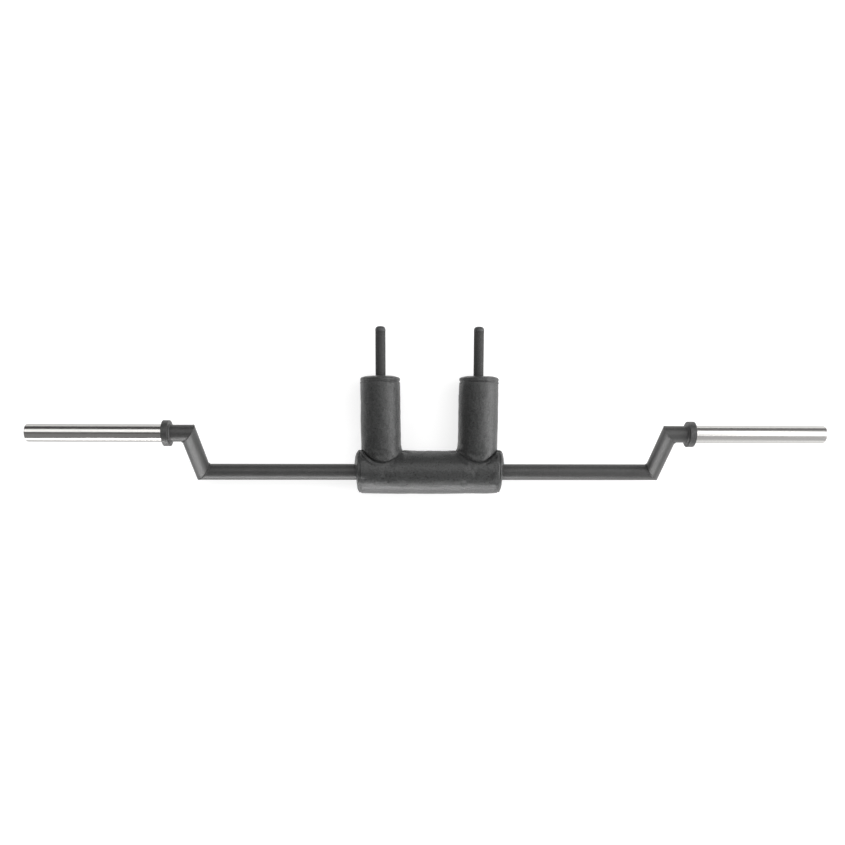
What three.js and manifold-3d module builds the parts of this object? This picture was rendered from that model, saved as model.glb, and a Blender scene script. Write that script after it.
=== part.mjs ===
// Safety squat bar: a welded, cambered plate bar with a padded yoke and two handles.
// It lies on its pads, as it is put down on a floor, with the plate sleeves raised.
// Lengths are millimetres. +X runs along the bar, +Y towards the handle tips, +Z up.
// The origin is on the floor, under the middle of the bar's box.

import * as THREE from 'three';
import { mergeVertices } from 'three/addons/utils/BufferGeometryUtils.js';
import Module from 'manifold-3d';

const wasm = await Module();
wasm.setup();

// Welded frame tube
const tubeDiameter = 48.3;
const tubeWall = 3.7;
const mainHalfLength = 679.5;
const camberReach = 116.7;
const camberRise = 110.2;
const camberLean = 11.8;
const stubLength = 50.6;
const weldLeg = 4;
const weldCrown = 1.3;

// Collars and plate sleeves
const collarDiameter = 73.6;
const collarThickness = 18.1;
const collarEdge = 1.6;
const collarSeatDepth = 3;
const sleeveClearance = 0.6;
const sleeveDiameter = 50;
const sleeveLength = 383.4;
const sleeveWall = 6.5;
const sleeveEdge = 1.5;
const spindleDiameter = 30;
const spindleRootDepth = 28;
const spindleEdge = 1.2;
const bushingWall = 4.7;
const bushingLength = 40;
const washerThickness = 2;
const washerDiameter = 47;
const ringThickness = 2.5;
const ringWidth = 4.4;
const ringOpening = 9;
const grooveDepth = 1.6;
const spindleTail = 7;
const sleeveCapThickness = 5;
const sleeveCapEdge = 0.8;
const sleeveCapRecess = 1.5;
const sleeveCapRoom = 4;

// Handle arms
const armSpacing = 292.3;
const armDrop = 3;
const handleDiameter = 30;
const handleWall = 3;
const handleReach = 430.2;
const handleCapLength = 15;
const handleCapEdge = 7;
const handleCapProud = 0.4;
const handleCapStem = 20;
const handleCapNub = 0.8;

// Pads
const neckPadRadius = 64;
const neckSeamRadius = 61;
const neckEndMargin = 3.2;
const neckDome = 12.4;
const neckEase = 30;
const neckFlat = 3.4;
const shoulderPadRadius = 58.1;
const shoulderSeamRadius = 57;
const shoulderSeamAt = 271.5;
const shoulderDome = 12.3;
const shoulderEase = 16;
const coverThickness = 2;

// Fits and fineness
const seatGap = 0.3;
const tubeFacets = 32;
const smallFacets = 24;
const padFacets = 32;
const easeSteps = 3;
const domeSteps = 4;
const edgeSteps = 3;
const shoulderRootShare = 0.25;
const neckDomePower = 2;
const shoulderDomePower = 5;
const weldFlankShare = 0.5;
const weldSwellShare = 0.25;

// Worked out from the sizes above
const tubeRadius = tubeDiameter / 2;
const tubeBore = tubeRadius - tubeWall;
const halfGap = seatGap / 2;
const overrun = tubeDiameter;
const camberLength = Math.hypot(camberReach, camberRise);
const camberAngle = Math.atan2(camberRise, camberReach);
const leanAngle = Math.atan2(camberLean, camberLength);
const linkLength = Math.hypot(camberLean, camberLength);
const cornerTurn = Math.PI / 2 - leanAngle;

const collarRadius = collarDiameter / 2;
const collarFace = stubLength + collarThickness;
const collarSeat = collarFace - collarSeatDepth;
const spindleRadius = spindleDiameter / 2;
const spindleRootRadius = tubeBore - seatGap;
const sleeveRadius = sleeveDiameter / 2;
const sleeveBore = sleeveRadius - sleeveWall;
const washerStart = collarSeat + seatGap;
const sleeveStart = washerStart + washerThickness + seatGap;
const sleeveEnd = sleeveStart + sleeveLength;
const bushingBore = spindleRadius + seatGap;
const bushingRadius = bushingBore + bushingWall;
const sleeveSeat = bushingRadius + seatGap;
const sleeveCapOuter = sleeveEnd - sleeveCapRecess;
const sleeveCapInner = sleeveCapOuter - sleeveCapThickness;
const spindleEnd = sleeveCapInner - sleeveCapRoom;
const ringEnd = spindleEnd - spindleTail;
const ringStart = ringEnd - ringThickness;
const outerBushingEnd = ringStart - seatGap;
const outerBushingStart = outerBushingEnd - bushingLength;
const grooveRadius = spindleRadius - grooveDepth;
const ringBore = grooveRadius + seatGap;

const handleRadius = handleDiameter / 2;
const handleBore = handleRadius - handleWall;
const handleTubeEnd = handleReach - handleCapLength;
const shoulderRoot = neckPadRadius * shoulderRootShare;
const neckSeamAt = armSpacing / 2 + shoulderPadRadius + neckEndMargin;
const floorDepth = neckPadRadius - neckFlat;
const shoulderFloor = armDrop - floorDepth;

// Finishes
const powderCoat = { color: 0x4a4c4d, roughness: 0.62, metalness: 0.35 };
const brightSteel = { color: 0xb9b8b6, roughness: 0.24, metalness: 1 };
const bareSteel = { color: 0x8d8f90, roughness: 0.42, metalness: 1 };
const bronze = { color: 0xa9844f, roughness: 0.45, metalness: 1 };
const nylon = { color: 0x222324, roughness: 0.55, metalness: 0 };
const capPlastic = { color: 0x2f3031, roughness: 0.5, metalness: 0 };
const vinyl = { color: 0x3a3b3b, roughness: 0.5, metalness: 0 };
const foam = { color: 0x2a2a2b, roughness: 0.95, metalness: 0 };

// A closed geometry becomes a solid that can be joined and cut, and back again.
function toSolid(geometry) {
  const bare = new THREE.BufferGeometry();
  bare.setAttribute('position', geometry.getAttribute('position'));
  bare.setIndex(geometry.getIndex());
  const merged = mergeVertices(bare);
  return new wasm.Manifold(new wasm.Mesh({
    numProp: 3,
    vertProperties: merged.getAttribute('position').array,
    triVerts: new Uint32Array(merged.getIndex().array),
  }));
}

function toGeometry(solid) {
  const { vertProperties, triVerts } = solid.getMesh();
  const geometry = new THREE.BufferGeometry();
  geometry.setAttribute('position', new THREE.BufferAttribute(vertProperties, 3));
  geometry.setIndex(new THREE.BufferAttribute(triVerts, 1));
  const flat = geometry.toNonIndexed();
  flat.computeVertexNormals();
  return flat;
}

function part(name, geometry, finish) {
  const mesh = new THREE.Mesh(geometry, new THREE.MeshStandardMaterial(finish));
  mesh.name = name;
  return mesh;
}

// Round shapes are turned about local +Y from [radius, height] points, listed anticlockwise.
function revolve(outline, facets) {
  const points = outline.map(([radius, height]) => new THREE.Vector2(radius, height));
  if (outline[0][0] > 0) {
    points.push(points[0].clone());
  }
  return new THREE.LatheGeometry(points, facets);
}

function ringShape(bore, radius, start, end, facets) {
  return revolve([[bore, start], [radius, start], [radius, end], [bore, end]], facets);
}

function rodShape(radius, start, end, facets) {
  return revolve([[0, start], [radius, start], [radius, end], [0, end]], facets);
}

// A block whose near face passes through a point, square to +Y turned by an angle about Z.
function blockBeyond(x, y, angle, depth) {
  const block = new THREE.BoxGeometry(depth, depth, depth);
  block.translate(0, depth / 2, 0);
  block.rotateZ(angle);
  block.translate(x, y, 0);
  return toSolid(block);
}

// A tube along +Y, mitred at each end to a neighbour that turns away by the given angle.
// Each mitre is drawn back by half of the gap that the weld bridges.
function mitredTube(length, startTurn, endTurn) {
  const long = ringShape(tubeBore, tubeRadius, -overrun, length + overrun, tubeFacets);
  const block = 3 * overrun;
  const endAngle = endTurn / 2;
  const startAngle = Math.PI - startTurn / 2;
  const beyondEnd = blockBeyond(
    halfGap * Math.sin(endAngle), length - halfGap * Math.cos(endAngle), endAngle, block);
  const beyondStart = blockBeyond(
    -halfGap * Math.sin(startAngle), -halfGap * Math.cos(startAngle), startAngle, block);
  return toGeometry(toSolid(long).subtract(beyondEnd).subtract(beyondStart));
}

// A weld bead lies in the corner between two surfaces, at a point on their common edge.
// Each surface is given by its normal and by the direction that leads along it, off the edge.
function beadSection(point, first, second) {
  const middle = first.normal.clone().add(second.normal).normalize();
  const base = point.clone().addScaledVector(middle, seatGap / middle.dot(first.normal));
  const firstFoot = base.clone().addScaledVector(first.along, weldLeg);
  const secondFoot = base.clone().addScaledVector(second.along, weldLeg);
  const reach = Math.max(0, middle.dot(first.along)) * weldLeg;
  const crest = base.clone().addScaledVector(middle, reach + weldCrown);
  const flank = (foot) => {
    const halfway = foot.clone().lerp(crest, weldFlankShare);
    return halfway.addScaledVector(middle, weldCrown * weldSwellShare);
  };
  return [base, firstFoot, flank(firstFoot), crest, flank(secondFoot), secondFoot];
}

// A closed ring of sections, each joined to the next and the last one to the first.
function closedBead(sections) {
  const sides = sections[0].length;
  const positions = sections.flat().flatMap((point) => point.toArray());
  const faces = [];
  sections.forEach((_, ring) => {
    const here = ring * sides;
    const there = ((ring + 1) % sections.length) * sides;
    for (let side = 0; side < sides; side += 1) {
      const next = (side + 1) % sides;
      faces.push(here + side, there + next, there + side);
      faces.push(here + side, here + next, there + next);
    }
  });
  const geometry = new THREE.BufferGeometry();
  geometry.setAttribute('position', new THREE.Float32BufferAttribute(positions, 3));
  geometry.setIndex(faces);
  geometry.computeVertexNormals();
  return geometry;
}

// The bead round a mitre, for a tube that arrives along +Y and leaves turned about Z.
function cornerWeld(turn) {
  const slope = Math.tan(turn / 2);
  const axis = new THREE.Vector3(0, 0, 1);
  const sections = [];
  for (let step = 0; step < tubeFacets; step += 1) {
    const around = (step / tubeFacets) * Math.PI * 2;
    const normal = new THREE.Vector3(Math.cos(around), 0, Math.sin(around));
    const point = normal.clone().multiplyScalar(tubeRadius);
    point.y = point.x * slope;
    const arriving = { normal, along: new THREE.Vector3(0, -1, 0) };
    const leaving = {
      normal: normal.clone().applyAxisAngle(axis, turn),
      along: new THREE.Vector3(0, 1, 0).applyAxisAngle(axis, turn),
    };
    sections.push(beadSection(point, arriving, leaving));
  }
  return closedBead(sections);
}

// Collar, spindle and plate sleeve stand along +Y of a group at the camber's upper corner.
// The collar's outer face has a seat, in which the washer and the sleeve's end lie.
function collarShape() {
  const bore = spindleRootRadius + seatGap;
  const seat = sleeveRadius + sleeveClearance;
  const start = stubLength + halfGap;
  return revolve([
    [bore, start],
    [collarRadius - collarEdge, start],
    [collarRadius, start + collarEdge],
    [collarRadius, collarFace - collarEdge],
    [collarRadius - collarEdge, collarFace],
    [seat, collarFace],
    [seat, collarSeat],
    [bore, collarSeat],
  ], tubeFacets);
}

function collarWeldShape() {
  const inner = tubeRadius + seatGap;
  const face = stubLength - halfGap;
  return revolve([
    [inner, face - weldLeg],
    [inner + weldLeg, face],
    [inner, face],
  ], tubeFacets);
}

function spindleShape() {
  const grooveStart = ringStart - seatGap;
  const grooveEnd = ringEnd + seatGap;
  return revolve([
    [0, stubLength - spindleRootDepth],
    [spindleRootRadius, stubLength - spindleRootDepth],
    [spindleRootRadius, collarSeat],
    [spindleRadius, collarSeat],
    [spindleRadius, grooveStart],
    [grooveRadius, grooveStart],
    [grooveRadius, grooveEnd],
    [spindleRadius, grooveEnd],
    [spindleRadius, spindleEnd - spindleEdge],
    [spindleRadius - spindleEdge, spindleEnd],
    [0, spindleEnd],
  ], smallFacets);
}

function sleeveShape() {
  const innerSeatEnd = sleeveStart + bushingLength + seatGap;
  const outerSeatStart = outerBushingStart - seatGap;
  return revolve([
    [sleeveSeat, sleeveStart],
    [sleeveRadius - sleeveEdge, sleeveStart],
    [sleeveRadius, sleeveStart + sleeveEdge],
    [sleeveRadius, sleeveEnd - sleeveEdge],
    [sleeveRadius - sleeveEdge, sleeveEnd],
    [sleeveSeat, sleeveEnd],
    [sleeveSeat, outerSeatStart],
    [sleeveBore, outerSeatStart],
    [sleeveBore, innerSeatEnd],
    [sleeveSeat, innerSeatEnd],
  ], tubeFacets);
}

function bushingShape(start) {
  return ringShape(bushingBore, bushingRadius, start, start + bushingLength, smallFacets);
}

function retainingRingShape() {
  const ring = ringShape(ringBore, ringBore + ringWidth, ringStart, ringEnd, smallFacets);
  const slot = new THREE.BoxGeometry(overrun, overrun, ringOpening);
  slot.translate(overrun / 2, ringStart, 0);
  return toGeometry(toSolid(ring).subtract(toSolid(slot)));
}

function sleeveCapShape() {
  const radius = bushingRadius;
  return revolve([
    [0, sleeveCapInner],
    [radius, sleeveCapInner],
    [radius, sleeveCapOuter - sleeveCapEdge],
    [radius - sleeveCapEdge, sleeveCapOuter],
    [0, sleeveCapOuter],
  ], smallFacets);
}

function sleeveGroup(name, side) {
  const group = new THREE.Group();
  group.position.set(side * (mainHalfLength + camberLean), camberLength, 0);
  group.rotation.z = -side * Math.PI / 2;
  const washer = ringShape(
    bushingBore, washerDiameter / 2, washerStart, washerStart + washerThickness, smallFacets);
  group.add(
    part(`stub_tube_${name}`, mitredTube(stubLength, -side * cornerTurn, 0), powderCoat),
    part(`collar_${name}`, collarShape(), powderCoat),
    part(`collar_weld_${name}`, collarWeldShape(), powderCoat),
    part(`spindle_${name}`, spindleShape(), bareSteel),
    part(`thrust_washer_${name}`, washer, nylon),
    part(`sleeve_${name}`, sleeveShape(), brightSteel),
    part(`inner_bushing_${name}`, bushingShape(sleeveStart), bronze),
    part(`outer_bushing_${name}`, bushingShape(outerBushingStart), bronze),
    part(`retaining_ring_${name}`, retainingRingShape(), bareSteel),
    part(`sleeve_end_cap_${name}`, sleeveCapShape(), brightSteel),
  );
  return group;
}

// The main tube, links and stubs share one plane, which the camber tips up from the floor.
function cambered() {
  const group = new THREE.Group();
  group.rotation.x = camberAngle;
  const mainTube = part(
    'main_tube', mitredTube(2 * mainHalfLength, cornerTurn, cornerTurn), powderCoat);
  mainTube.position.x = -mainHalfLength;
  mainTube.rotation.z = -Math.PI / 2;
  group.add(mainTube);

  for (const [name, side] of [['left', -1], ['right', 1]]) {
    const turn = side * cornerTurn;
    const link = part(`camber_tube_${name}`, mitredTube(linkLength, turn, -turn), powderCoat);
    link.position.x = side * mainHalfLength;
    link.rotation.z = -side * leanAngle;

    const lowerWeld = part(`lower_corner_weld_${name}`, cornerWeld(turn), powderCoat);
    lowerWeld.position.x = side * mainHalfLength;
    lowerWeld.rotation.z = -side * Math.PI / 2;

    const upperWeld = part(`upper_corner_weld_${name}`, cornerWeld(-turn), powderCoat);
    upperWeld.position.set(side * (mainHalfLength + camberLean), camberLength, 0);
    upperWeld.rotation.z = -side * leanAngle;

    group.add(link, lowerWeld, upperWeld, sleeveGroup(name, side));
  }
  return group;
}

// The main tube as a handle's group sees it, armDrop above the arm's axis.
function mainTubeSolid(radius) {
  const rod = rodShape(radius, -armSpacing / 2, armSpacing / 2, tubeFacets);
  rod.rotateZ(Math.PI / 2);
  rod.translate(0, 0, armDrop);
  return toSolid(rod);
}

function handleShape() {
  const tube = ringShape(handleBore, handleRadius, 0, handleTubeEnd - halfGap, smallFacets);
  return toGeometry(toSolid(tube).subtract(mainTubeSolid(tubeRadius + seatGap)));
}

// The bead round a handle's foot follows the saddle where the handle meets the main tube.
function armWeldShape() {
  const sections = [];
  for (let step = 0; step < smallFacets; step += 1) {
    const around = (step / smallFacets) * Math.PI * 2;
    const outward = new THREE.Vector3(Math.sin(around), 0, Math.cos(around));
    const point = outward.clone().multiplyScalar(handleRadius);
    const off = point.z - armDrop;
    point.y = Math.sqrt(tubeRadius * tubeRadius - off * off);
    const mainNormal = new THREE.Vector3(0, point.y, off).normalize();
    const slant = outward.dot(mainNormal);
    const alongMain = outward.clone().addScaledVector(mainNormal, -slant).normalize();
    const main = { normal: mainNormal, along: alongMain };
    const handle = { normal: outward, along: new THREE.Vector3(0, 1, 0) };
    sections.push(beadSection(point, handle, main));
  }
  return closedBead(sections);
}

function handleCapShape() {
  const stemRadius = handleBore - seatGap;
  const capRadius = handleRadius + handleCapProud;
  const face = handleTubeEnd + halfGap;
  const outline = [
    [0, handleTubeEnd - handleCapStem],
    [stemRadius, handleTubeEnd - handleCapStem],
    [stemRadius, face],
    [capRadius, face],
  ];
  for (let step = 0; step <= edgeSteps; step += 1) {
    const angle = (step / edgeSteps) * Math.PI / 2;
    outline.push([
      capRadius - handleCapEdge + handleCapEdge * Math.cos(angle),
      handleReach - handleCapNub - handleCapEdge + handleCapEdge * Math.sin(angle),
    ]);
  }
  outline.push([0, handleReach]);
  return revolve(outline, smallFacets);
}

// A padded roll along local +Y. It draws in towards its seams, and its end panels are domed.
// inset shrinks the roll, so that cover, foam and cutting tools are worked out from one shape.
const neckRoll = {
  radius: neckPadRadius,
  seamRadius: neckSeamRadius,
  ease: neckEase,
  start: -neckSeamAt,
  end: neckSeamAt,
  dome: neckDome,
  power: neckDomePower,
  easedStart: true,
};
const shoulderRoll = {
  radius: shoulderPadRadius,
  seamRadius: shoulderSeamRadius,
  ease: shoulderEase,
  start: shoulderRoot,
  end: shoulderSeamAt,
  dome: shoulderDome,
  power: shoulderDomePower,
  easedStart: false,
};

// Points from the full roll to its seam, where share runs from 0 at the seam to 1.
function easedEdge(roll, inset) {
  const points = [];
  for (let step = easeSteps; step >= 0; step -= 1) {
    const share = step / easeSteps;
    const swell = (roll.radius - roll.seamRadius) * Math.sin(share * Math.PI / 2);
    points.push([roll.seamRadius + swell - inset, roll.end - roll.ease * share]);
  }
  return points;
}

function rollSide(roll, inset) {
  const edge = easedEdge(roll, inset);
  const start = roll.easedStart
    ? edge.map(([radius, height]) => [radius, -height]).reverse()
    : [[roll.radius - inset, roll.start]];
  return [...start, ...edge];
}

// Points of the end panel, from the seam to the radius of the hole.
// A power of 2 gives a round dome, and a higher one a flatter end with a tighter edge.
function domeEdge(roll, inset, hole) {
  const points = [];
  const seam = roll.seamRadius - inset;
  const last = Math.acos((hole / seam) ** (roll.power / 2));
  for (let step = 0; step <= domeSteps; step += 1) {
    const angle = last * step / domeSteps;
    const outward = Math.cos(angle) ** (2 / roll.power);
    const upward = Math.sin(angle) ** (2 / roll.power);
    points.push([seam * outward, roll.end + (roll.dome - inset) * upward]);
  }
  return points;
}

// A roll with straight ends, which run on by a length when the roll cuts another shape.
function openRoll(roll, inset, runOn) {
  const side = rollSide(roll, inset);
  const first = side[0];
  const last = side[side.length - 1];
  const outline = [
    [0, first[1] - runOn],
    [first[0], first[1] - runOn],
    ...(runOn > 0 ? side : side.slice(1, -1)),
    [last[0], last[1] + runOn],
    [0, last[1] + runOn],
  ];
  return revolve(outline, padFacets);
}

function domedRoll(roll, inset, hole) {
  const dome = domeEdge(roll, inset, hole);
  const last = dome[dome.length - 1];
  const far = [...dome.slice(1), [0, last[1]]];
  const near = roll.easedStart
    ? far.map(([radius, height]) => [radius, -height]).reverse()
    : [[0, roll.start]];
  return revolve([...near, ...rollSide(roll, inset), ...far], padFacets);
}

// Cuts the roll flat where it lies on the floor, which is at floorZ in the roll's own frame.
// The inset raises the cut, so that the cover keeps its thickness there.
function pressedFlat(geometry, inset, floorZ) {
  const size = neckSeamAt + shoulderSeamAt;
  const block = new THREE.BoxGeometry(size + size, size + size, size);
  block.translate(0, 0, floorZ + inset - size / 2);
  return toSolid(geometry).subtract(toSolid(block));
}

function layAlongX(geometry) {
  geometry.rotateZ(-Math.PI / 2);
  return geometry;
}

function neckSolid(inset, runOn) {
  return pressedFlat(layAlongX(openRoll(neckRoll, inset, runOn)), inset, -floorDepth);
}

function shoulderSolid(inset, runOn) {
  return pressedFlat(openRoll(shoulderRoll, inset, runOn), inset, shoulderFloor);
}

// Moves a shape from an arm's frame to the neck pad's frame, and the other way round.
function armToNeck(solid, side) {
  return solid.translate([side * armSpacing / 2, 0, -armDrop]);
}

function neckToArm(solid) {
  return solid.translate([0, 0, armDrop]);
}

function neckCoverShape() {
  const hole = shoulderSolid(coverThickness, 0);
  return toGeometry(neckSolid(0, 0)
    .subtract(neckSolid(coverThickness, overrun))
    .subtract(armToNeck(hole, -1))
    .subtract(armToNeck(hole, 1)));
}

function neckFoamShape() {
  const inset = coverThickness + seatGap;
  const hole = tubeRadius + seatGap;
  const roll = pressedFlat(
    layAlongX(domedRoll(neckRoll, inset, hole)), inset, -floorDepth);
  const length = neckSeamAt + neckDome + overrun;
  const bore = toSolid(layAlongX(rodShape(hole, -length, length, tubeFacets)));
  const armRadius = handleRadius + seatGap;
  const weldRadius = armRadius + weldLeg + weldCrown;
  const weldTop = tubeRadius + weldLeg + weldCrown + seatGap;
  const armRoom = toSolid(revolve([
    [0, 0],
    [weldRadius, 0],
    [weldRadius, weldTop],
    [armRadius, weldTop],
    [armRadius, handleReach],
    [0, handleReach],
  ], smallFacets));
  return toGeometry(roll
    .subtract(bore)
    .subtract(armToNeck(armRoom, -1))
    .subtract(armToNeck(armRoom, 1)));
}

function shoulderCoverShape() {
  return toGeometry(shoulderSolid(0, 0)
    .subtract(shoulderSolid(coverThickness, overrun))
    .subtract(neckToArm(neckSolid(-seatGap, 0))));
}

function shoulderFoamShape() {
  const inset = coverThickness + seatGap;
  const hole = handleRadius + seatGap;
  const roll = pressedFlat(domedRoll(shoulderRoll, inset, hole), inset, shoulderFloor);
  const bore = toSolid(rodShape(hole, 0, handleReach, smallFacets));
  return toGeometry(roll
    .subtract(bore)
    .subtract(neckToArm(neckSolid(coverThickness, 0))));
}

// A domed end panel, sewn to the cover along the seam, with a hole for the tube.
function panelShape(roll, hole) {
  const lifted = ([radius, height]) => [radius, height + seatGap];
  const outside = domeEdge(roll, 0, hole).map(lifted);
  const inside = domeEdge(roll, coverThickness, hole).map(lifted).reverse();
  return revolve([...outside, ...inside], padFacets);
}

function neckPad() {
  const group = new THREE.Group();
  group.add(
    part('neck_pad_foam', neckFoamShape(), foam),
    part('neck_pad_cover', neckCoverShape(), vinyl),
  );
  for (const [name, side] of [['left', -1], ['right', 1]]) {
    const shape = panelShape(neckRoll, tubeRadius + seatGap);
    const panel = part(`neck_pad_end_panel_${name}`, shape, vinyl);
    panel.rotation.z = -side * Math.PI / 2;
    group.add(panel);
  }
  return group;
}

function arm(name, side) {
  const group = new THREE.Group();
  group.position.set(side * armSpacing / 2, 0, -armDrop);
  const panel = panelShape(shoulderRoll, handleRadius + seatGap);
  group.add(
    part(`handle_tube_${name}`, handleShape(), powderCoat),
    part(`handle_cap_${name}`, handleCapShape(), capPlastic),
    part(`handle_weld_${name}`, armWeldShape(), powderCoat),
    part(`shoulder_pad_foam_${name}`, shoulderFoamShape(), foam),
    part(`shoulder_pad_cover_${name}`, shoulderCoverShape(), vinyl),
    part(`shoulder_pad_end_panel_${name}`, panel, vinyl),
  );
  return group;
}

const bar = new THREE.Group();
bar.position.set(0, (neckPadRadius - handleReach) / 2, floorDepth);
bar.add(cambered(), neckPad(), arm('left', -1), arm('right', 1));

const squatBar = new THREE.Group();
squatBar.add(bar);

export default squatBar;
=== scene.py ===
import math

import bmesh
import bpy
import numpy as np
from mathutils import Euler, Matrix, Vector, noise
from mathutils.kdtree import KDTree


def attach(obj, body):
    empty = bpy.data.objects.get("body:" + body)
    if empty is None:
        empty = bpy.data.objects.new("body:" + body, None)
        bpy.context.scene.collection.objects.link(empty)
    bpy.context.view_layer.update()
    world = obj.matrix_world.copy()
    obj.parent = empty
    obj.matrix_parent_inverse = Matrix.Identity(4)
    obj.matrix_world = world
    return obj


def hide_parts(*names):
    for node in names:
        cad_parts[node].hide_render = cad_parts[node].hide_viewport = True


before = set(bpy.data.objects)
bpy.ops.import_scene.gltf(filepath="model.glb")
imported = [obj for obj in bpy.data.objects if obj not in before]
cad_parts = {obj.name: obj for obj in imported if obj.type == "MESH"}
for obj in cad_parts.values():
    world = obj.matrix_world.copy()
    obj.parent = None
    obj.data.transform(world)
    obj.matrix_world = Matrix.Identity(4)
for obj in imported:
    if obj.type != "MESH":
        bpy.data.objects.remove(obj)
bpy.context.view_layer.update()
scene = bpy.context.scene
scene.view_settings.view_transform = "Standard"

# Sizes of the hard pieces in metres, as in the CAD part but for edges and hidden clearances
MAIN_Y = -0.1831
MAIN_Z = 0.0606
TUBE_R = 0.02415
HALF_LENGTH = 0.6795
CAMBER = Vector((0.0118, 0.1167, 0.1102))
STUB = 0.0506
COLLAR_R = 0.0368
COLLAR_T = 0.0181
COLLAR_BORE_R = 0.0206
SEAT_R = 0.0256
SEAT_DEPTH = 0.003
WASHER_ROOM = 0.0026
SLEEVE_R = 0.025
SLEEVE_END = 1.143
SLEEVE_BORE_R = 0.0185
BUSHING_SEAT_R = 0.0203
INNER_SEAT = 0.0403
OUTER_SEAT = 0.0606
SLEEVE_CAP_R = 0.02
SLEEVE_CAP_T = 0.005
SLEEVE_CAP_RECESS = 0.0015
ARM_X = 0.14615
ARM_DROP = 0.003
HANDLE_R = 0.015
HANDLE_REACH = 0.4302
HANDLE_FOOT = 0.0215
CAP_LENGTH = 0.015
CAP_PROUD = 0.0004
CAP_ROUND = 0.0112
CAP_STEM_R = 0.0117
CAP_STEM = 0.02
CAP_NUB_R = 0.0034
CAP_NUB = 0.0004

LOWER = Vector((HALF_LENGTH, MAIN_Y, MAIN_Z))
UPPER = LOWER + CAMBER
COLLAR_X = UPPER.x + STUB
COLLAR_FACE = COLLAR_X + COLLAR_T
COLLAR_SEAT = COLLAR_FACE - SEAT_DEPTH
SLEEVE_START = COLLAR_SEAT + WASHER_ROOM
SPIN_ORIGIN = Vector((0, UPPER.y, UPPER.z))
CAP_START = HANDLE_REACH - CAP_LENGTH

SIDES = (("left", -1), ("right", 1))


# Materials
MIX_FACTOR = 0
MIX_FIRST = 6
MIX_SECOND = 7
MIX_RESULT = 2


def material(name):
    made = bpy.data.materials.new(name)
    made.use_nodes = True
    tree = made.node_tree
    return made, tree, tree.nodes["Principled BSDF"]


def add(tree, kind, **values):
    node = tree.nodes.new(kind)
    for key, value in values.items():
        if key in node.inputs:
            node.inputs[key].default_value = value
        else:
            setattr(node, key, value)
    return node


def object_coordinates(tree, scale=(1, 1, 1)):
    source = add(tree, "ShaderNodeTexCoord")
    mapping = add(tree, "ShaderNodeMapping", Scale=scale)
    tree.links.new(source.outputs["Object"], mapping.inputs["Vector"])
    return mapping.outputs["Vector"]


def noise_of(tree, vector, scale, detail=3.0, roughness=0.55):
    node = add(tree, "ShaderNodeTexNoise", Scale=scale, Detail=detail, Roughness=roughness)
    tree.links.new(vector, node.inputs["Vector"])
    return node.outputs["Fac"]


def ramp(tree, source, stops):
    """stops are (place, colour) or (place, grey)."""
    node = add(tree, "ShaderNodeValToRGB")
    elements = node.color_ramp.elements
    while len(elements) < len(stops):
        elements.new(0.5)
    for element, (place, colour) in zip(elements, stops):
        element.position = place
        value = colour if hasattr(colour, "__len__") else (colour, colour, colour)
        element.color = (*value, 1.0)
    tree.links.new(source, node.inputs["Fac"])
    return node.outputs["Color"]


def rough(tree, shader, source, low, high, span=(0.3, 0.7)):
    """The shader's roughness goes from low to high where the source crosses the span."""
    stops = [(span[0], low), (span[1], high)]
    tree.links.new(ramp(tree, source, stops), shader.inputs["Roughness"])


def bumps(tree, shader, layers):
    """layers are (height, distance, strength), laid over each other."""
    last = None
    for height, distance, strength in layers:
        node = add(tree, "ShaderNodeBump", Distance=distance, Strength=strength)
        tree.links.new(height, node.inputs["Height"])
        if last is not None:
            tree.links.new(last, node.inputs["Normal"])
        last = node.outputs["Normal"]
    tree.links.new(last, shader.inputs["Normal"])


def mixed(tree, first, second, fac, blend="MIX"):
    """The mix node has a set of sockets for each kind of data, and these are its colours'."""
    node = add(tree, "ShaderNodeMix", data_type="RGBA", blend_type=blend)
    for value, socket in ((fac, MIX_FACTOR), (first, MIX_FIRST), (second, MIX_SECOND)):
        if isinstance(value, (int, float, tuple)):
            node.inputs[socket].default_value = value
        else:
            tree.links.new(value, node.inputs[socket])
    return node.outputs[MIX_RESULT]


def multiplied(tree, first, second):
    return mixed(tree, first, second, 1.0, "MULTIPLY")


def powder_coat(name, roughness, specular):
    made, tree, shader = material(name)
    where = object_coordinates(tree)
    speckle = noise_of(tree, where, 900.0, 2.0, 0.7)
    grain = noise_of(tree, where, 420.0, 3.0, 0.6)
    cloud = noise_of(tree, where, 14.0, 2.0)
    dark = (0.0185, 0.0185, 0.0185)
    grey = (0.047, 0.0465, 0.046)
    fleck = (0.164, 0.162, 0.16)
    base = ramp(tree, speckle, [(0.36, dark), (0.58, grey), (0.72, fleck)])
    shade = ramp(tree, cloud, [(0.3, 0.82), (0.7, 1.0)])
    tree.links.new(multiplied(tree, base, shade), shader.inputs["Base Color"])
    rough(tree, shader, grain, roughness - 0.08, roughness + 0.08)
    shader.inputs["Specular IOR Level"].default_value = specular
    bumps(tree, shader, [(grain, 0.0006, 0.55), (speckle, 0.0003, 0.45)])
    return made


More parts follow.
